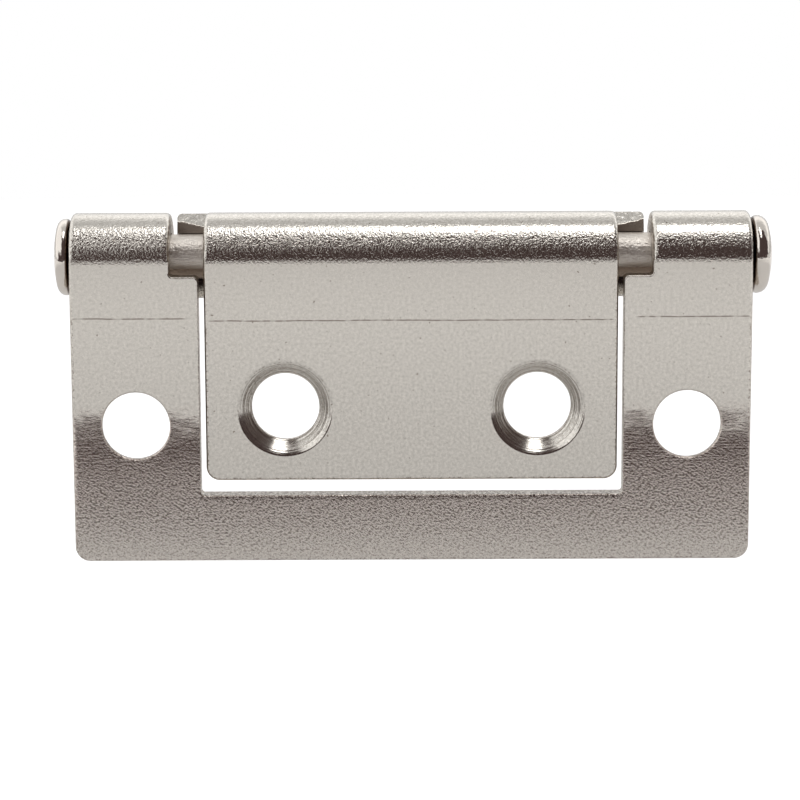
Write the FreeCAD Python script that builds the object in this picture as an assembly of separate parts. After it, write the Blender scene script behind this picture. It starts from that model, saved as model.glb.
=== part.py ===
# A pressed-steel flush hinge, 50 mm wide. The inner leaf nests in a window of the outer leaf, so the
# closed hinge is one sheet thick, and both leaves are rolled round one headed pin.
# Frame: X along the pin, Y from the front face to the back, Z up towards the rolled barrel. The origin
# is midway between the outer leaf's two screw holes, on the front face, which both leaves share.
# Lengths are in millimetres and angles in degrees.

import FreeCAD, Part
import math
import os

# Sheet and pin
sheet = 1.5
pin_diameter = 3.3
bore_play = 0.1

# Outer leaf, with heights measured down from the pin's axis
outer_width = 50.0
leg_width = 9.4
outer_drop = 22.4
bar_height = 5.0
notch_width = 2.1
notch_drop = 1.15

# Inner leaf, which fits the window with a gap all round
side_gap = 0.43
end_gap = 1.1

# Rolled barrel: angles turn from straight down, through the front and over the top
flat_end_angle = 90.0
curl_end_angle = 355.0
tab_start_angle = 198.0
tab_gap = 0.4

# Countersunk screw holes
screw_hole_diameter = 5.0
countersink_diameter = 7.0
countersink_angle = 90.0
outer_hole_drop = 12.15
inner_hole_drop = 10.9
inner_hole_inset = 5.87

# Corners of the blanks, seen from the front
outer_corner_radius = 1.1
inner_corner_radius = 1.0
window_corner_radius = 0.25
notch_corner_radius = 0.3

# Rounding that the press leaves on the front edges, which is much smaller round the window and its
# notches, and the broken rims of the holes
front_edge_radius = 0.35
window_edge_radius = 0.1
hole_rim_break = 0.1

# Pin heads: the factory head at +X is thicker, the head formed in assembly at -X is flatter
head_play = 0.1
factory_head = {"thickness": 1.6, "radius": 2.89, "crown_radius": 8.0, "rim_radius": 0.8,
                "under_radius": 0.45}
formed_head = {"thickness": 1.26, "radius": 2.84, "crown_radius": 10.0, "rim_radius": 0.6,
               "under_radius": 0.35}

# Sizes that follow
bore_radius = pin_diameter / 2 + bore_play
barrel_radius = bore_radius + sheet
axis_y = barrel_radius
axis_z = outer_hole_drop
outer_half = outer_width / 2
window_half = outer_half - leg_width
inner_half = window_half - side_gap
knuckle_end = window_half + notch_width
tab_half = knuckle_end - tab_gap
outer_bottom = axis_z - outer_drop
window_floor = outer_bottom + bar_height
inner_bottom = window_floor + end_gap
notch_floor = axis_z - notch_drop
leg_centre = outer_half - leg_width / 2
countersink_slope = math.tan(math.radians(countersink_angle / 2))
countersink_depth = (countersink_diameter - screw_hole_diameter) / 2 / countersink_slope

# How far a chord may lie inside the arc it stands for, and how close two points must be to be one
chord_sag = 0.01
same_point = 1e-5

X_AXIS = FreeCAD.Vector(1, 0, 0)
Y_AXIS = FreeCAD.Vector(0, 1, 0)


def around_pin(x, radius, angle):
    """Point at a radius and a barrel angle round the pin."""
    turn = math.radians(angle)
    return FreeCAD.Vector(x, axis_y - radius * math.sin(turn), axis_z - radius * math.cos(turn))


def rounding(along, height, radius, start_angle, end_angle):
    """Points of an arc in a section, joined by chords that stay within chord_sag of it."""
    chord_angle = math.degrees(2 * math.acos(1 - chord_sag / radius))
    chords = math.ceil(abs(end_angle - start_angle) / chord_angle)
    turns = [start_angle + (end_angle - start_angle) * step / chords for step in range(chords + 1)]
    return [(along + radius * math.cos(math.radians(t)), height + radius * math.sin(math.radians(t)))
            for t in turns]


def face_through(points):
    return Part.Face(Part.makePolygon(points + points[:1]))


def rolled_strip(left, right, start_angle, end_angle):
    """The sheet between two ends of the barrel, rolled round the pin, with its outer edges rounded."""
    crown = barrel_radius - front_edge_radius
    left_corner = rounding(left + front_edge_radius, crown, front_edge_radius, 180, 90)
    right_corner = rounding(right - front_edge_radius, crown, front_edge_radius, 90, 0)
    outline = [(left, bore_radius)] + left_corner + right_corner + [(right, bore_radius)]
    section = face_through([around_pin(x, radius, start_angle) for x, radius in outline])
    strip = section.revolve(FreeCAD.Vector(0, axis_y, axis_z), -X_AXIS, end_angle - start_angle)
    tip = around_pin(0, barrel_radius, curl_end_angle)
    tip_edges = [edge for edge in strip.Edges if runs_along_x(edge, tip.y, tip.z)]
    return strip.makeFillet(front_edge_radius, tip_edges) if tip_edges else strip


def runs_along_x(edge, y, z):
    return all(math.hypot(vertex.Y - y, vertex.Z - z) < same_point for vertex in edge.Vertexes)


def flat_sheet(right_side, corner_radii):
    """The flat of a leaf from the right half of its outline, with its plan corners rounded."""
    outline = right_side + [(-x, z) for x, z in reversed(right_side)]
    flat = face_through([FreeCAD.Vector(x, 0, z) for x, z in outline]).extrude(Y_AXIS * sheet)
    for (x, z), radius in corner_radii.items():
        flat = flat.makeFillet(radius, edges_across(flat, x, z))
    return flat


def edges_across(shape, x, z):
    """Edges through the sheet's thickness at (x, z) and at (-x, z)."""
    found = []
    for edge in shape.Edges:
        start, end = [vertex.Point for vertex in edge.Vertexes]
        through = math.hypot(start.x - end.x, start.z - end.z) < same_point
        if through and math.hypot(abs(start.x) - x, start.z - z) < same_point:
            found.append(edge)
    return found


def front_edges(shape):
    """Edges round the front face, apart from the top ones, where the roll goes on."""
    found = []
    for edge in shape.Edges:
        ends = [vertex.Point for vertex in edge.Vertexes]
        on_front = all(abs(end.y) < same_point for end in ends)
        if on_front and min(end.z for end in ends) < axis_z - same_point:
            found.append(edge)
    return found


def borders_window(edge):
    """True for an edge round the outer leaf's window or its notches."""
    ends = [vertex.Point for vertex in edge.Vertexes]
    return all(abs(end.x) < knuckle_end + same_point and end.z > window_floor - same_point for end in ends)


def pierce(leaf, x, z, mouth_y):
    """One countersunk hole, with its wide mouth at mouth_y and a broken rim on the front face."""
    inward = Y_AXIS if mouth_y == 0 else -Y_AXIS
    mouth = FreeCAD.Vector(x, mouth_y, z)
    drill = Part.makeCylinder(screw_hole_diameter / 2, 3 * sheet, FreeCAD.Vector(x, -sheet, z), Y_AXIS)
    cone = Part.makeCone(countersink_diameter / 2, screw_hole_diameter / 2, countersink_depth, mouth, inward)
    leaf = leaf.cut(drill.fuse(cone))
    centre = FreeCAD.Vector(x, 0, z)
    circles = [edge for edge in leaf.Edges if not edge.Degenerated and isinstance(edge.Curve, Part.Circle)]
    rim = [edge for edge in circles if edge.Curve.Center.isEqual(centre, same_point)]
    return leaf.makeChamfer(hole_rim_break, rim)


def make_outer_leaf():
    """A frame round the window, with a knuckle at the top of each leg."""
    right_side = [(outer_half, outer_bottom), (outer_half, axis_z), (knuckle_end, axis_z),
                  (knuckle_end, notch_floor), (window_half, notch_floor), (window_half, window_floor)]
    leaf = flat_sheet(right_side, {
        (outer_half, outer_bottom): outer_corner_radius,
        (knuckle_end, notch_floor): notch_corner_radius,
        (window_half, notch_floor): notch_corner_radius,
        (window_half, window_floor): window_corner_radius,
    })
    outer_edges = [edge for edge in front_edges(leaf) if not borders_window(edge)]
    leaf = leaf.makeFillet(front_edge_radius, outer_edges)
    window_edges = [edge for edge in front_edges(leaf) if borders_window(edge)]
    leaf = leaf.makeFillet(window_edge_radius, window_edges)
    for left, right in ((-outer_half, -knuckle_end), (knuckle_end, outer_half)):
        leaf = leaf.fuse(rolled_strip(left, right, flat_end_angle, curl_end_angle))
    leaf = leaf.removeSplitter()
    for side in (-1, 1):
        leaf = pierce(leaf, side * leg_centre, 0, sheet)
    return leaf


def make_inner_leaf():
    """A tongue that fills the window, with a knuckle whose last part widens into tabs behind the pin."""
    leaf = flat_sheet([(inner_half, inner_bottom), (inner_half, axis_z)],
                      {(inner_half, inner_bottom): inner_corner_radius})
    leaf = leaf.makeFillet(front_edge_radius, front_edges(leaf))
    leaf = leaf.fuse(rolled_strip(-inner_half, inner_half, flat_end_angle, tab_start_angle))
    leaf = leaf.fuse(rolled_strip(-tab_half, tab_half, tab_start_angle, curl_end_angle)).removeSplitter()
    for side in (-1, 1):
        leaf = pierce(leaf, side * (inner_half - inner_hole_inset), axis_z - inner_hole_drop, 0)
    return leaf


def head_outline(head):
    """Half section of one pin head, as distance along the pin and height: crown, rim, side and under rim."""
    seat = outer_half + head_play
    crown_centre = seat + head["thickness"] - head["crown_radius"]
    rim_height = head["radius"] - head["rim_radius"]
    rim_reach = head["crown_radius"] - head["rim_radius"]
    rim_centre = crown_centre + math.sqrt(rim_reach ** 2 - rim_height ** 2)
    blend = math.degrees(math.atan2(rim_height, rim_centre - crown_centre))
    under_centre = seat + head["under_radius"]
    under_height = head["radius"] - head["under_radius"]
    crown = rounding(crown_centre, 0, head["crown_radius"], 0, blend)
    rim = rounding(rim_centre, rim_height, head["rim_radius"], blend, 90)
    under_rim = rounding(under_centre, under_height, head["under_radius"], 90, 180)
    return crown + rim[1:] + under_rim + [(seat, pin_diameter / 2)]


def make_pin():
    """The shaft with its two heads, turned about the pin's axis."""
    right = head_outline(factory_head)
    left = [(-along, height) for along, height in reversed(head_outline(formed_head))]
    section = face_through([FreeCAD.Vector(along, axis_y, axis_z + height) for along, height in right + left])
    return section.revolve(FreeCAD.Vector(0, axis_y, axis_z), X_AXIS, 360)


def main():
    os.makedirs("parts", exist_ok=True)
    nodes = {"outer_leaf": make_outer_leaf(), "inner_leaf": make_inner_leaf(), "pin": make_pin()}
    for name, shape in nodes.items():
        shape.exportStep(f"parts/{name}.step")


main()
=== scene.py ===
# Looks of a nickel-plated flush hinge in a small photo studio.
# The solids already carry all the shape. Here each gets soft shading across its rounded edges, and its
# finish: bright rolled sheet whose skin has gone grainy where it is bent, and a pin with smooth heads.
# Frame: X along the pin, Y from the front face to the back, Z up. Lengths are in metres.

import bmesh
import bpy
import math
from functools import partial
from mathutils import Matrix, Vector


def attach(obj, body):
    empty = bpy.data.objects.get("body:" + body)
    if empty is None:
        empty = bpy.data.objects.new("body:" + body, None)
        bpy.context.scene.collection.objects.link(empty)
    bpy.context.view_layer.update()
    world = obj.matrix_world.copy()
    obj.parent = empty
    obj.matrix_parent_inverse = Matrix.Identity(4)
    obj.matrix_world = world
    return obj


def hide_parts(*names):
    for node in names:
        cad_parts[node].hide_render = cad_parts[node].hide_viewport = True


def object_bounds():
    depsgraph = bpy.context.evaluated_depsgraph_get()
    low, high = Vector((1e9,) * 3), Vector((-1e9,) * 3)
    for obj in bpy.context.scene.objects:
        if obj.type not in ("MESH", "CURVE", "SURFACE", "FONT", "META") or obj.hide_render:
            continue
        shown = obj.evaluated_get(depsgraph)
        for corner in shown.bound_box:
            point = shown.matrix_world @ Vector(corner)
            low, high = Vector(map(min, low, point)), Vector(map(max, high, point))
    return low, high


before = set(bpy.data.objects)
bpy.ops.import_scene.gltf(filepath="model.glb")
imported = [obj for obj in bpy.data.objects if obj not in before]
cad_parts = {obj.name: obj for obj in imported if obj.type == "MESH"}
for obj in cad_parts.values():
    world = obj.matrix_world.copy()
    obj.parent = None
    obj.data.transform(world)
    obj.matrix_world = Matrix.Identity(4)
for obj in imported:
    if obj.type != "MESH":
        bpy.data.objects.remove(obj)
solid_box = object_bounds()

mm = 0.001

# Places on the hinge, as the solids have them
pin_axis = 12.15 * mm
sheet = 1.5 * mm
leaf_half = 25.0 * mm
window_half = 15.6 * mm
window_floor = -5.25 * mm
hole_radius = 2.5 * mm
mouth_radius = 3.5 * mm

# A noise lies round this level. With it taken off, relief fades out without a step
noise_middle = 0.5


def linear(hex_colour):
    """An sRGB hex colour as linear red, green, blue and alpha."""
    channels = [int(hex_colour[i:i + 2], 16) / 255 for i in (1, 3, 5)]
    return [c / 12.92 if c <= 0.04045 else ((c + 0.055) / 1.055) ** 2.4 for c in channels] + [1.0]


def slope(degrees):
    """The tangent of an angle, which is how far a normal moves sideways when it turns by that angle."""
    return math.tan(math.radians(degrees))


def add_node(tree, kind, inputs=None, **settings):
    """Adds a node and gives its first output. Inputs are values, or outputs to read, by socket. In a
    MapRange 1 and 2 are the range that is read, and 3 and 4 what it becomes, from 0 to 1 if left out. A
    Mix goes from 2 to 3, or from 6 to 7 for colours, as 0 says."""
    node = tree.nodes.new("ShaderNode" + kind)
    for name, value in settings.items():
        setattr(node, name, value)
    for socket, value in (inputs or {}).items():
        if isinstance(value, bpy.types.NodeSocket):
            tree.links.new(value, node.inputs[socket])
        else:
            node.inputs[socket].default_value = value
    return next((output for output in node.outputs if output.enabled), None)


# Materials

def new_material(name):
    """An empty material, and the function that adds a node to it."""
    material = bpy.data.materials.new(name)
    material.use_nodes = True
    material.node_tree.nodes.clear()
    return material, partial(add_node, material.node_tree)


def bent_skin(add, place, cut, peel_left, peel_right):
    """Orange peel of about 0.15 mm, which opens in the skin where the sheet goes round the pin, and can be
    coarser at one end of the roll than at the other. A cut face has none."""
    x, depth, height = add("SeparateXYZ", {0: place}).node.outputs
    bent = add("MapRange", {0: height, 1: pin_axis - 0.3 * mm, 2: pin_axis + 1.2 * mm})
    rolled_under = add("MapRange", {0: depth, 1: sheet + 0.3 * mm, 2: sheet + 0.6 * mm})
    bent = add("Math", {0: bent, 1: rolled_under}, operation="MAXIMUM")
    coarse = add("MapRange", {0: x, 1: -20 * mm, 2: 20 * mm, 3: peel_left, 4: peel_right})
    smoother_on_top = add("MapRange", {0: height, 1: 13.4 * mm, 2: 14.6 * mm, 3: 1.0, 4: 0.25})
    coarse = add("Math", {0: coarse, 1: smoother_on_top}, operation="MULTIPLY")
    peel = add("TexNoise", {"Vector": place, "Scale": 1 / (0.16 * mm), "Detail": 2.0, "Roughness": 0.6})
    bent = add("Math", {0: bent, 1: cut}, operation="SUBTRACT", use_clamp=True)
    peel = add("Math", {0: peel, 1: noise_middle}, operation="SUBTRACT")
    peel = add("Math", {0: peel, 1: bent}, operation="MULTIPLY")
    peel = add("Math", {0: peel, 1: coarse}, operation="MULTIPLY")
    return add("Bump", {"Height": peel, "Distance": 0.07 * mm}), bent


def turned_skin(add, turn, normal):
    """Turns the skin's reflection by a small angle, upwards on the front and downwards on the back."""
    sideways = add("VectorMath", {0: normal, 1: (1, 0, 0)}, operation="CROSS_PRODUCT")
    sideways = add("VectorMath", {0: sideways, "Scale": turn}, operation="SCALE")
    turned = add("VectorMath", {0: normal, 1: sideways}, operation="ADD")
    return add("VectorMath", {0: turned}, operation="NORMALIZE")


def early_bend(add, height, normal):
    """The real roll starts to bend a little below its tangent, by up to 3 degrees."""
    starts = add("MapRange", {0: height, 1: pin_axis - 0.2 * mm, 2: pin_axis + 0.3 * mm, 4: slope(3)})
    ends = add("MapRange", {0: height, 1: pin_axis + 0.6 * mm, 2: pin_axis + 1.5 * mm, 3: 1.0, 4: 0.0})
    turn = add("Math", {0: starts, 1: ends}, operation="MULTIPLY")
    return turned_skin(add, turn, normal)


def tab_shoulders(add, place, facing):
    """The cut ends of the tabs, which face forward above the pin and behind it."""
    _, depth, height = add("SeparateXYZ", {0: place}).node.outputs
    front = add("SeparateXYZ", {0: facing}).node.outputs["Y"]
    shoulder = add("MapRange", {0: front, 1: -0.88, 2: -0.92})
    behind_pin = add("MapRange", {0: depth, 1: 3.3 * mm, 2: 3.4 * mm})
    above_pin = add("MapRange", {0: height, 1: 13.5 * mm, 2: 13.6 * mm})
    shoulder = add("Math", {0: shoulder, 1: behind_pin}, operation="MULTIPLY")
    return add("Math", {0: shoulder, 1: above_pin}, operation="MULTIPLY")


def burnished_shoulders(add, place, shoulder, normal):
    """The tabs' shoulders are burnished and rolled back above, and torn and dark below. The torn part is
    taller towards the outside."""
    x, _, height = add("SeparateXYZ", {0: place}).node.outputs
    outwards = add("Math", {0: x}, operation="ABSOLUTE")
    tear = add("MapRange", {0: outwards, 1: 15.2 * mm, 2: 17.3 * mm, 3: 13.95 * mm, 4: 14.4 * mm})
    ragged = add("TexNoise", {"Vector": place, "Scale": 1 / (0.3 * mm), "Detail": 2.0})
    tear = add("Math", {0: ragged, 1: 0.3 * mm, 2: tear}, operation="MULTIPLY_ADD")
    over_tear = add("Math", {0: height, 1: tear}, operation="SUBTRACT")
    burnished = add("MapRange", {0: over_tear, 1: 0.1 * mm, 2: 0.2 * mm})
    burnished = add("Math", {0: burnished, 1: shoulder}, operation="MULTIPLY")
    turn = add("Math", {0: burnished, 1: slope(34)}, operation="MULTIPLY")
    torn = add("Math", {0: shoulder, 1: burnished}, operation="SUBTRACT")
    dimples = add("TexNoise", {"Vector": place, "Scale": 1 / (0.25 * mm), "Detail": 2.0})
    dimples = add("Math", {0: dimples, 1: noise_middle}, operation="SUBTRACT")
    dimples = add("Math", {0: dimples, 1: shoulder}, operation="MULTIPLY")
    normal = add("Bump", {"Height": dimples, "Distance": 0.03 * mm, "Normal": normal})
    return turned_skin(add, turn, normal), torn


def cut_edges(add, height, facing):
    """The sheared edges of the blank: the walls of the flats and the ends of the roll. The tabs' shoulders
    have a finish of their own."""
    sideways, front, _ = add("SeparateXYZ", {0: facing}).node.outputs
    across = add("Math", {0: front}, operation="ABSOLUTE")
    wall = add("MapRange", {0: across, 1: 0.3, 2: 0.15})
    below_roll = add("MapRange", {0: height, 1: pin_axis - 0.2 * mm, 2: pin_axis - 0.4 * mm})
    wall = add("Math", {0: wall, 1: below_roll}, operation="MULTIPLY")
    ends = add("Math", {0: sideways}, operation="ABSOLUTE")
    ends = add("MapRange", {0: ends, 1: 0.75, 2: 0.9})
    return add("Math", {0: wall, 1: ends}, operation="MAXIMUM")


def shear_marks(add, place, cut, normal):
    """Short scratches that run through the sheet, from the shear blade, and the flakes between them."""
    drawn = add("Mapping", {"Vector": place, "Scale": (1, 0.3, 1)})
    scratches = add("TexNoise", {"Vector": drawn, "Scale": 1 / (0.2 * mm), "Detail": 2.0})
    relief = add("Math", {0: scratches, 1: noise_middle}, operation="SUBTRACT")
    relief = add("Math", {0: relief, 1: cut}, operation="MULTIPLY")
    flakes = add("MapRange", {0: scratches, 1: 0.42, 2: 0.58})
    return add("Bump", {"Height": relief, "Distance": 0.04 * mm, "Normal": normal}), flakes


def turning_lines(add, place, facing, hole, normal):
    """Fine rings that the countersinking tool leaves on the cone of each screw hole."""
    hole_x, hole_z = hole
    mirrored = add("VectorMath", {0: place}, operation="ABSOLUTE")
    beside = add("SeparateXYZ", {0: mirrored}).node.outputs["X"]
    height = add("SeparateXYZ", {0: place}).node.outputs["Z"]
    radial = add("CombineXYZ", {"X": beside, "Z": height})
    radius = add("VectorMath", {0: radial, 1: (hole_x, 0, hole_z)}, operation="DISTANCE")
    radius = radius.node.outputs["Value"]
    cone = add("MapRange", {0: radius, 1: mouth_radius + 0.02 * mm, 2: mouth_radius})
    outside_bore = add("MapRange", {0: radius, 1: hole_radius + 0.01 * mm, 2: hole_radius + 0.03 * mm})
    cone = add("Math", {0: cone, 1: outside_bore}, operation="MULTIPLY")
    slant = add("SeparateXYZ", {0: facing}).node.outputs["Y"]
    slant = add("Math", {0: slant}, operation="ABSOLUTE")
    slant = add("MapRange", {0: slant, 1: 0.9, 2: 0.8})
    cone = add("Math", {0: cone, 1: slant}, operation="MULTIPLY")
    rings = add("CombineXYZ", {"X": radius})
    rings = add("TexNoise", {"Vector": rings, "Scale": 1 / (0.14 * mm), "Detail": 2.0})
    rings = add("Math", {0: rings, 1: noise_middle}, operation="SUBTRACT")
    rings = add("Math", {0: rings, 1: cone}, operation="MULTIPLY")
    return add("Bump", {"Height": rings, "Distance": 0.04 * mm, "Normal": normal}), cone


def pebbled_half(add, place, normal):
    """The outer leaf below its screw holes: the press has pebbled and streaked its skin there. The hollows of
    that relief are also given as a mask of painted shade.
    """
    height = add("SeparateXYZ", {0: place}).node.outputs["Z"]
    flowing = add("Mapping", {"Vector": place, "Scale": (0.35, 1, 1)})
    wander = add("TexNoise", {"Vector": flowing, "Scale": 1 / (1.5 * mm), "Detail": 6.0, "Roughness": 0.8})
    wander = add("MapRange", {0: wander, 1: 0.3, 2: 0.7, 3: -1.1 * mm, 4: 1.1 * mm})
    low = add("Math", {0: height, 1: wander}, operation="ADD")
    pebbled = add("MapRange", {0: low, 1: 1.2 * mm, 2: -2.0 * mm}, interpolation_type="SMOOTHSTEP")
    slanted = add("Mapping", {"Vector": place, "Rotation": (0, math.radians(35), 0), "Scale": (1.3, 1, 1)},
                  vector_type="TEXTURE")
    pebbles = add("TexNoise", {"Vector": slanted, "Scale": 1 / (0.15 * mm), "Detail": 2.0, "Roughness": 0.6})
    drawn = add("Mapping", {"Vector": place, "Scale": (0.15, 1, 1)})
    streaks = add("TexNoise", {"Vector": drawn, "Scale": 1 / (0.16 * mm), "Detail": 2.0})
    streaked = add("MapRange", {0: low, 1: -4.0 * mm, 2: -2.0 * mm, 3: 0.0, 4: 0.45})
    relief = add("Mix", {0: streaked, 2: pebbles, 3: streaks})
    fading = add("MapRange", {0: height, 1: -10 * mm, 2: -6.5 * mm, 3: 0.5, 4: 1.0})
    pebbled = add("Math", {0: pebbled, 1: fading}, operation="MULTIPLY")
    # Painted shade: the low points of the pebbles, to be coloured darker
    painted_hollow_shade = add("MapRange", {0: relief, 1: 0.5, 2: 0.38, 4: 0.8})
    painted_hollow_shade = add("Math", {0: painted_hollow_shade, 1: pebbled}, operation="MULTIPLY")
    relief = add("Math", {0: relief, 1: pebbled}, operation="MULTIPLY")
    return add("Bump", {"Height": relief, "Distance": 0.062 * mm, "Normal": normal}), low, painted_hollow_shade


def leaning_skin(add, place, low, normal):
    """Turns the skin's reflection as the real leaf does, which leans forward below its screw holes."""
    x, _, height = add("SeparateXYZ", {0: place}).node.outputs
    lean = add("MapRange", {0: low, 1: 1.4 * mm, 2: -1.5 * mm, 4: slope(8.8)},
               interpolation_type="SMOOTHSTEP")
    more_on_left = add("MapRange", {0: x, 1: -leaf_half, 2: leaf_half, 3: 1.1, 4: 0.94})
    lean = add("Math", {0: lean, 1: more_on_left}, operation="MULTIPLY")

    # The edge under the window is pulled in by the shear
    ragged = add("TexNoise", {"Vector": place, "Scale": 1 / (0.8 * mm), "Detail": 2.0})
    ragged = add("Math", {0: ragged, 1: 0.5 * mm, 2: height}, operation="MULTIPLY_ADD")
    pulled = add("MapRange", {0: ragged, 1: window_floor - 0.2 * mm, 2: window_floor + 0.1 * mm, 4: slope(9)})
    beside = add("Math", {0: x}, operation="ABSOLUTE")
    below_window = add("MapRange", {0: beside, 1: window_half + 0.1 * mm, 2: window_half - 0.2 * mm})
    below_window = add("Math", {0: below_window, 1: pulled}, operation="MULTIPLY")
    past_edge = add("MapRange", {0: height, 1: window_floor + 0.05 * mm, 2: window_floor})
    lean = add("Math", {0: below_window, 1: past_edge, 2: lean}, operation="MULTIPLY_ADD")

    # Further down the leaf bends back again, first quickly and then more slowly
    for start, end, back in ((-2.0, -5.0, 5.3), (-5.0, -10.2, 6.2)):
        relaxed = add("MapRange", {0: height, 1: start * mm, 2: end * mm, 4: slope(back)})
        lean = add("Math", {0: lean, 1: relaxed}, operation="SUBTRACT")
    return turned_skin(add, lean, normal)


def press_line(add, place, line_height, line_ends):
    """A thin worn line across the front, where the edge of the rolling die has pressed the flat. It stops
    short of the edges round the window: line_ends says where it fades out, and where it is whole."""
    x, depth, height = add("SeparateXYZ", {0: place}).node.outputs
    beside = add("Math", {0: x}, operation="ABSOLUTE")
    faded, whole = line_ends
    pressed = add("MapRange", {0: beside, 1: faded, 2: whole})
    wander = add("TexNoise", {"Vector": place, "Scale": 1 / (3 * mm), "Detail": 3.0})
    wander = add("MapRange", {0: wander, 1: 0.3, 2: 0.7, 3: -0.03 * mm, 4: 0.03 * mm})
    along = add("Math", {0: height, 1: wander}, operation="ADD")
    off_line = add("Math", {0: along, 1: line_height}, operation="SUBTRACT")
    off_line = add("Math", {0: off_line}, operation="ABSOLUTE")
    line = add("MapRange", {0: off_line, 1: 0.07 * mm, 2: 0.02 * mm}, interpolation_type="SMOOTHSTEP")
    in_front = add("MapRange", {0: depth, 1: 0.02 * mm, 2: 0.01 * mm})
    line = add("Math", {0: line, 1: in_front}, operation="MULTIPLY")
    line = add("Math", {0: line, 1: pressed}, operation="MULTIPLY")
    broken = add("TexNoise", {"Vector": place, "Scale": 1 / (0.7 * mm), "Detail": 2.0})
    broken = add("MapRange", {0: broken, 1: 0.35, 2: 0.5, 3: 0.35, 4: 1.0})
    return add("Math", {0: line, 1: broken}, operation="MULTIPLY")


def slot_painted_shade(add, place, facing):
    """Painted shade in the slots under the pin, on what faces forward behind the sheet."""
    _, depth, height = add("SeparateXYZ", {0: place}).node.outputs
    front = add("SeparateXYZ", {0: facing}).node.outputs["Y"]
    painted_slot_shade = add("MapRange", {0: front, 1: -0.2, 2: -0.4})
    behind = add("MapRange", {0: depth, 1: sheet + 0.1 * mm, 2: sheet + 0.2 * mm})
    under_pin = add("MapRange", {0: height, 1: 9.4 * mm, 2: 10.0 * mm})
    not_over = add("MapRange", {0: height, 1: 12.2 * mm, 2: 12.0 * mm})
    painted_slot_shade = add("Math", {0: painted_slot_shade, 1: behind}, operation="MULTIPLY")
    painted_slot_shade = add("Math", {0: painted_slot_shade, 1: under_pin}, operation="MULTIPLY")
    return add("Math", {0: painted_slot_shade, 1: not_over}, operation="MULTIPLY")


def worn_rims(add, height, facing, place, cone):
    """Dark specks along the pressed rims of the flats, where the plate has worn off the burr."""
    across = add("SeparateXYZ", {0: facing}).node.outputs["Y"]
    across = add("Math", {0: across}, operation="ABSOLUTE")
    rim = add("MapRange", {0: across, 1: 0.97, 2: 0.9})
    flats = add("MapRange", {0: height, 1: pin_axis - 0.6 * mm, 2: pin_axis - 5 * mm})
    rim = add("Math", {0: rim, 1: flats}, operation="MULTIPLY")
    rim = add("Math", {0: rim, 1: cone}, operation="SUBTRACT", use_clamp=True)
    specks = add("TexNoise", {"Vector": place, "Scale": 1 / (0.14 * mm), "Detail": 3.0})
    specks = add("MapRange", {0: specks, 1: 0.54, 2: 0.62, 4: 0.85})
    return add("Math", {0: specks, 1: rim}, operation="MULTIPLY")


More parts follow.
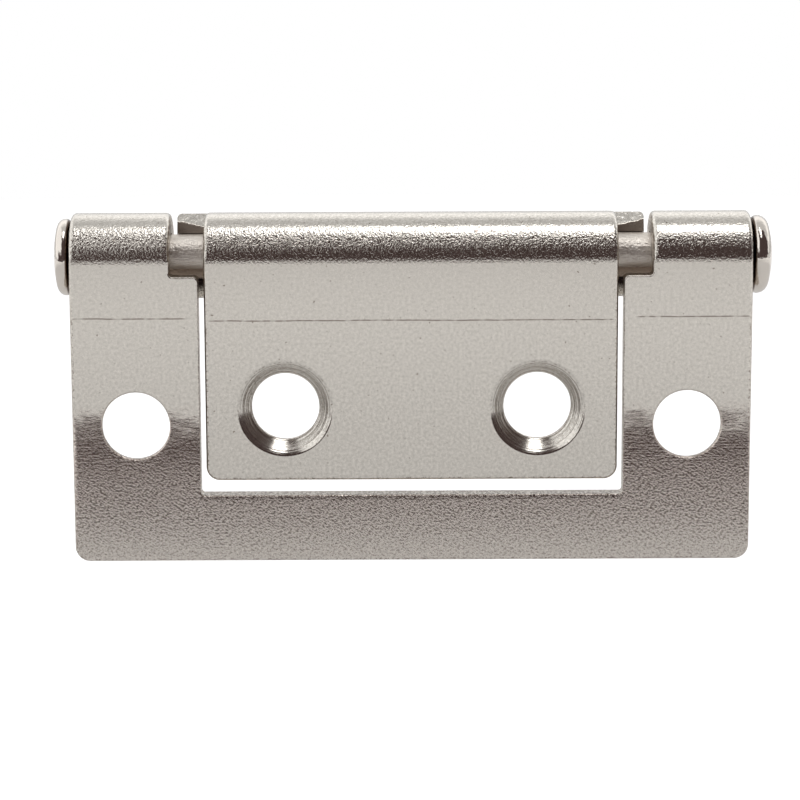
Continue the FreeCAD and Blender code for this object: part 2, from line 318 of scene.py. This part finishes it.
def nickel_sheet(name, hole, line_height, line_ends, peel, leans):
    """Nickel plate on cold-rolled steel sheet: warm grey, nearly a mirror, with a faint haze and mottling
    on the flats, orange peel round the pin, and grey torn metal on the cut edges."""
    material, add = new_material(name)
    place, facing = [add("TexCoord").node.outputs[kind] for kind in ("Object", "Normal")]
    height = add("SeparateXYZ", {0: place}).node.outputs["Z"]

    cut = cut_edges(add, height, facing)
    shoulder = tab_shoulders(add, place, facing)
    smooth = add("Math", {0: cut, 1: shoulder}, operation="MAXIMUM")
    normal, bent = bent_skin(add, place, smooth, *peel)
    normal, flakes = shear_marks(add, place, cut, normal)
    normal, cone = turning_lines(add, place, facing, hole, normal)
    if leans:
        normal, low, painted_hollow_shade = pebbled_half(add, place, normal)
        normal = leaning_skin(add, place, low, normal)
        torn = None
    else:
        normal, torn = burnished_shoulders(add, place, shoulder, normal)
    normal = early_bend(add, height, normal)

    mottling = add("TexNoise", {"Vector": place, "Scale": 1 / (0.22 * mm), "Detail": 3.0, "Roughness": 0.7})
    mottling = add("MapRange", {0: mottling, 1: 0.35, 2: 0.65})
    colour = add("Mix", {0: mottling, 6: linear("#C8C3BB"), 7: linear("#E6E1D9")}, data_type="RGBA")
    if leans:
        pebbled = add("MapRange", {0: low, 1: 1.6 * mm, 2: -1.2 * mm})
        tint = add("MapRange", {0: height, 1: -9 * mm, 2: -3 * mm, 3: 0.2, 4: 0.6})
        tint = add("Math", {0: pebbled, 1: tint}, operation="MULTIPLY")
        colour = add("Mix", {0: tint, 6: colour, 7: linear("#DACCC5")}, data_type="RGBA")
        # Painted shade: the hollows of the pebbles are coloured dark
        colour = add("Mix", {0: painted_hollow_shade, 6: colour, 7: linear("#7A6D66")}, data_type="RGBA")
    line = press_line(add, place, line_height, line_ends)
    colour = add("Mix", {0: line, 6: colour, 7: linear("#8F857C")}, data_type="RGBA")
    pits = add("TexNoise", {"Vector": place, "Scale": 1 / (0.3 * mm), "Detail": 1.0})
    pits = add("MapRange", {0: pits, 1: 0.73, 2: 0.77})
    colour = add("Mix", {0: pits, 6: colour, 7: linear("#9A9086")}, data_type="RGBA")
    torn_edge = add("Mix", {0: flakes, 6: linear("#AA9E92"), 7: linear("#DFD8CD")}, data_type="RGBA")
    colour = add("Mix", {0: cut, 6: colour, 7: torn_edge}, data_type="RGBA")
    worn = worn_rims(add, height, facing, place, cone)
    colour = add("Mix", {0: worn, 6: colour, 7: linear("#7B6E64")}, data_type="RGBA")
    if torn:
        colour = add("Mix", {0: torn, 6: colour, 7: linear("#A89C90")}, data_type="RGBA")
        # Painted shade: dark brown on the tabs behind the sheet, in the slots under the pin
        painted_slot_shade = slot_painted_shade(add, place, facing)
        colour = add("Mix", {0: painted_slot_shade, 6: colour, 7: linear("#2E2624")}, data_type="RGBA")
    roughness = add("MapRange", {0: mottling, 3: 0.13, 4: 0.18})
    roughness = add("Mix", {0: bent, 2: roughness, 3: 0.1})
    roughness = add("Mix", {0: cone, 2: roughness, 3: 0.2})
    roughness = add("Mix", {0: cut, 2: roughness, 3: 0.35})
    if torn:
        roughness = add("Mix", {0: torn, 2: roughness, 3: 0.5})
    if leans:
        roughness = add("Mix", {0: pebbled, 2: roughness, 3: 0.26})

    shader = add("BsdfPrincipled", {"Metallic": 1.0, "Base Color": colour, "Roughness": roughness,
                                    "Normal": normal})
    add("OutputMaterial", {"Surface": shader})
    return material


def nickel_pin(name):
    """Nickel plate on a drawn and headed steel pin: fine lines along the shaft, heads smooth as a mirror."""
    material, add = new_material(name)
    place = add("TexCoord").node.outputs["Object"]
    mirrored = add("VectorMath", {0: place}, operation="ABSOLUTE")
    along = add("SeparateXYZ", {0: mirrored}).node.outputs["X"]
    shaft = add("MapRange", {0: along, 1: leaf_half, 2: leaf_half - 0.1 * mm})
    drawn = add("Mapping", {"Vector": place, "Scale": (0.35, 1, 1)})
    lines = add("TexNoise", {"Vector": drawn, "Scale": 1 / (0.15 * mm), "Detail": 2.0})
    scuffs = add("TexNoise", {"Vector": place, "Scale": 1 / (0.2 * mm), "Detail": 2.0})
    lines = add("Math", {0: lines, 1: scuffs}, operation="ADD")
    lines = add("Math", {0: lines, 1: shaft}, operation="MULTIPLY")
    normal = add("Bump", {"Height": lines, "Distance": 0.045 * mm})
    dents = add("TexNoise", {"Vector": place, "Scale": 1 / (0.7 * mm), "Detail": 2.0})
    normal = add("Bump", {"Height": dents, "Distance": 0.04 * mm, "Normal": normal})
    tarnish = add("TexNoise", {"Vector": place, "Scale": 1 / (1.5 * mm), "Detail": 2.0})
    colour = add("Mix", {0: tarnish, 6: linear("#D9D2CA"), 7: linear("#E6DFD6")}, data_type="RGBA")
    # The lower side of the shaft is painted darker, as shade
    height = add("SeparateXYZ", {0: place}).node.outputs["Z"]
    painted_underside_shade = add("MapRange", {0: height, 1: pin_axis - 0.4 * mm, 2: pin_axis - 0.8 * mm})
    painted_underside_shade = add("Math", {0: painted_underside_shade, 1: shaft}, operation="MULTIPLY")
    colour = add("Mix", {0: painted_underside_shade, 6: colour, 7: linear("#8A7A6C")}, data_type="RGBA")
    # Painted shade in the gap behind the heads, dark brown
    painted_shade_behind_head = add("MapRange", {0: along, 1: leaf_half + 0.34 * mm, 2: leaf_half + 0.24 * mm})
    painted_shade_behind_head = add("Math", {0: painted_shade_behind_head, 1: shaft}, operation="SUBTRACT")
    colour = add("Mix", {0: painted_shade_behind_head, 6: colour, 7: linear("#4A382C")}, data_type="RGBA")
    roughness = add("MapRange", {0: shaft, 3: 0.1, 4: 0.43})
    shader = add("BsdfPrincipled", {"Metallic": 1.0, "Base Color": colour, "Roughness": roughness,
                                    "Normal": normal})
    add("OutputMaterial", {"Surface": shader})
    return material


# Pieces

same_point = 0.0005 * mm
same_plane = math.radians(0.2)
sharp_edge = math.radians(40)


def plate(node, body, material):
    """A merged copy of a solid, with its flats as single faces, so that the shading of a rounded edge runs
    smoothly into them. Its shape is the solid's own."""
    shape = bmesh.new()
    shape.from_mesh(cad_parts[node].data)
    bmesh.ops.remove_doubles(shape, verts=shape.verts, dist=same_point)
    bmesh.ops.dissolve_limit(shape, angle_limit=same_plane, verts=shape.verts, edges=shape.edges)
    for face in shape.faces:
        face.smooth = True
    for edge in shape.edges:
        edge.smooth = edge.calc_face_angle(math.pi) < sharp_edge
    mesh = bpy.data.meshes.new(node + "_plated")
    shape.to_mesh(mesh)
    shape.free()
    mesh.materials.append(material)
    piece = bpy.data.objects.new(node + "_plated", mesh)
    bpy.context.scene.collection.objects.link(piece)
    shading = piece.modifiers.new("flats_lead_the_shading", "WEIGHTED_NORMAL")
    shading.keep_sharp = True
    shading.weight = 90
    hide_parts(node)
    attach(piece, body)


plate("outer_leaf", "fixed_leaf",
      nickel_sheet("pressed_nickel_sheet_outer", hole=(20.3 * mm, 0.0), line_height=7.97 * mm,
                   line_ends=(16.4 * mm, 16.8 * mm), peel=(1.3, 1.0), leans=True))
plate("inner_leaf", "moving_leaf",
      nickel_sheet("pressed_nickel_sheet_inner", hole=(9.3 * mm, 1.25 * mm), line_height=7.79 * mm,
                   line_ends=(14.9 * mm, 14.6 * mm), peel=(1.1, 1.1), leans=False))
plate("pin", "fixed_leaf", nickel_pin("nickel_plated_pin"))


# Studio: a pale table, a dark room in front and on the right, pale walls behind and on the left, and a
# soft box overhead. The camera sees plain white behind the hinge.
table_drop = 30 * mm
table_radius = 0.575
box_height = 1.5
box_front_angle = 66
box_back_angle = 87

# Light that comes from each part of the room, where 1.0 is white
dark_light = 0.075
back_wall_light = (0.66, 1.3)
ceiling_light = 1.1
left_wall_light = 1.15
floor_light = 0.7
soft_box_light = 3.0


def studio_world():
    world = bpy.data.worlds.new("studio")
    bpy.context.scene.world = world
    world.use_nodes = True
    world.node_tree.nodes.clear()
    add = partial(add_node, world.node_tree)
    direction = add("TexCoord").node.outputs["Generated"]
    x, y, z = add("SeparateXYZ", {0: direction}).node.outputs

    # Angle over the top, from 0 at the front horizon through 90 at the zenith to 180 at the back one
    forward = add("Math", {0: y, 1: -1.0}, operation="MULTIPLY")
    over = add("Math", {0: z, 1: forward}, operation="ARCTAN2")
    over = add("Math", {0: over, 1: 180 / math.pi}, operation="MULTIPLY")

    # Back wall, brightest halfway up
    wall_up = add("MapRange", {0: over, 1: 110, 2: 138}, interpolation_type="SMOOTHSTEP")
    wall_down = add("MapRange", {0: over, 1: 176, 2: 140}, interpolation_type="SMOOTHSTEP")
    back_wall = add("Math", {0: wall_up, 1: wall_down}, operation="MULTIPLY")
    back_wall = add("MapRange", {0: back_wall, 3: back_wall_light[0], 4: back_wall_light[1]})
    behind = add("MapRange", {0: over, 1: 85, 2: 88}, interpolation_type="SMOOTHSTEP")
    level = add("Math", {0: back_wall, 1: behind}, operation="MULTIPLY")

    # Pale ceiling overhead, which ends on the right beyond the soft box
    slanting = add("MapRange", {0: x, 1: -0.12, 2: 0.12, 3: -11, 4: 8})
    slanting = add("Math", {0: over, 1: slanting}, operation="ADD")
    ceiling = add("MapRange", {0: slanting, 1: 67, 2: 71}, interpolation_type="SMOOTHSTEP")
    ceiling_end = add("MapRange", {0: over, 1: 89, 2: 86}, interpolation_type="SMOOTHSTEP")
    to_the_right = add("MapRange", {0: x, 1: 0.36, 2: 0.3}, interpolation_type="SMOOTHSTEP")
    ceiling = add("Math", {0: ceiling, 1: ceiling_end}, operation="MULTIPLY")
    ceiling = add("Math", {0: ceiling, 1: to_the_right}, operation="MULTIPLY")
    ceiling = add("Math", {0: ceiling, 1: ceiling_light}, operation="MULTIPLY")
    level = add("Math", {0: level, 1: ceiling}, operation="MAXIMUM")

    # Left wall, above the table
    left_wall = add("MapRange", {0: x, 1: -0.3, 2: -0.45}, interpolation_type="SMOOTHSTEP")
    wall_foot = add("MapRange", {0: z, 1: 0.15, 2: 0.35})
    far_left = add("MapRange", {0: x, 1: -0.8, 2: -0.9})
    wall_foot = add("Math", {0: wall_foot, 1: far_left}, operation="MAXIMUM")
    left_wall = add("Math", {0: left_wall, 1: wall_foot}, operation="MULTIPLY")
    left_wall = add("Math", {0: left_wall, 1: left_wall_light}, operation="MULTIPLY")
    level = add("Math", {0: level, 1: left_wall}, operation="MAXIMUM")

    # Floor of the room, past the table, which is dark in front
    above = add("MapRange", {0: z, 1: -0.03, 2: 0.0})
    level = add("Math", {0: level, 1: above}, operation="MULTIPLY")
    floor = add("MapRange", {0: z, 1: 0.0, 2: -0.03, 4: floor_light})
    not_in_front = add("MapRange", {0: y, 1: -0.35, 2: -0.2})
    floor = add("Math", {0: floor, 1: not_in_front}, operation="MULTIPLY")
    level = add("Math", {0: level, 1: floor}, operation="ADD")
    level = add("Math", {0: level, 1: dark_light}, operation="MAXIMUM")

    # The dark part of the room is a warm brown
    lit = add("MapRange", {0: level, 1: 0.1, 2: 0.5})
    colour = add("Mix", {0: lit, 6: linear("#FFDDD9"), 7: linear("#FFFFFF")}, data_type="RGBA")
    room = add("Background", {"Color": colour, "Strength": level})
    white = add("Background", {"Color": linear("#FFFFFF"), "Strength": 1.0})
    seen_by_camera = add("LightPath").node.outputs["Is Camera Ray"]
    add("OutputWorld", {"Surface": add("MixShader", {0: seen_by_camera, 1: room, 2: white})})


def soft_box():
    """Between two angles over the front horizon, as the hinge sees it, and more to the right."""
    front = box_height / slope(box_front_angle)
    back = -box_height / slope(box_back_angle)
    left, right = 0.05 * box_height, 0.33 * box_height
    light = bpy.data.lights.new("soft_box", "AREA")
    light.shape = "RECTANGLE"
    light.size = left + right
    light.size_y = front + back
    light.energy = soft_box_light * math.pi * light.size * light.size_y
    lamp = bpy.data.objects.new("soft_box", light)
    lamp.location = ((right - left) / 2, (back - front) / 2, pin_axis + box_height)
    lamp.visible_camera = False
    bpy.context.scene.collection.objects.link(lamp)


def table():
    """The table top under the hinge: board painted matt white, which shows in the metal as an even light
    grey. For the metal only it also glows, as painted light, paler further out."""
    shape = bmesh.new()
    bmesh.ops.create_circle(shape, cap_ends=True, segments=96, radius=table_radius)
    bmesh.ops.translate(shape, verts=shape.verts, vec=(0, 0, solid_box[0][2] - table_drop))
    mesh = bpy.data.meshes.new("table_top")
    shape.to_mesh(mesh)
    shape.free()
    top = bpy.data.objects.new("table_top", mesh)
    bpy.context.scene.collection.objects.link(top)
    material, add = new_material("pale_table")
    diffuse = add("BsdfDiffuse", {"Color": linear("#E8E8E8")})
    light_path = add("LightPath").node.outputs
    for_camera = add("Math", {0: light_path["Is Camera Ray"], 1: 0.5}, operation="MULTIPLY")
    # Painted reflection: the table glows for the metal only, paler further out
    place = add("TexCoord").node.outputs["Object"]
    ring = add("VectorMath", {0: place, 1: (1, 1, 0)}, operation="MULTIPLY")
    ring = add("VectorMath", {0: ring}, operation="LENGTH").node.outputs["Value"]
    further = add("MapRange", {0: ring, 1: 0.2, 2: 0.39, 3: 0.0, 4: 0.32})
    painted_glow_for_metal = add("Math", {0: light_path["Is Glossy Ray"], 1: further}, operation="MULTIPLY")
    lift = add("Math", {0: for_camera, 1: painted_glow_for_metal}, operation="ADD")
    glow = add("Emission", {"Color": linear("#FFFFFF"), "Strength": lift})
    add("OutputMaterial", {"Surface": add("AddShader", {0: diffuse, 1: glow})})
    mesh.materials.append(material)


studio_world()
soft_box()
table()


# Camera: as in the photograph, 10 degrees above the hinge and turned a quarter of a degree
elevation = math.radians(10)
roll = math.radians(0.26)
distance = 200 * mm
picture_widths_to_focus = 3.4
target = Vector((-0.841, 0, 1.866)) * mm
look = Vector((0, math.cos(elevation), -math.sin(elevation)))
level_right = Vector((1, 0, 0))
level_up = level_right.cross(look)
right = level_right * math.cos(roll) - level_up * math.sin(roll)
up = level_right * math.sin(roll) + level_up * math.cos(roll)
camera_data = bpy.data.cameras.new("camera")
camera_data.sensor_width = 36
camera_data.lens = picture_widths_to_focus * camera_data.sensor_width
camera_data.clip_start = 0.005
camera = bpy.data.objects.new("camera", camera_data)
stand = Matrix((right, up, -look)).transposed().to_4x4()
stand.translation = target - look * distance
camera.matrix_world = stand
bpy.context.scene.collection.objects.link(camera)
bpy.context.scene.camera = camera
bpy.context.scene.view_settings.view_transform = "Standard"
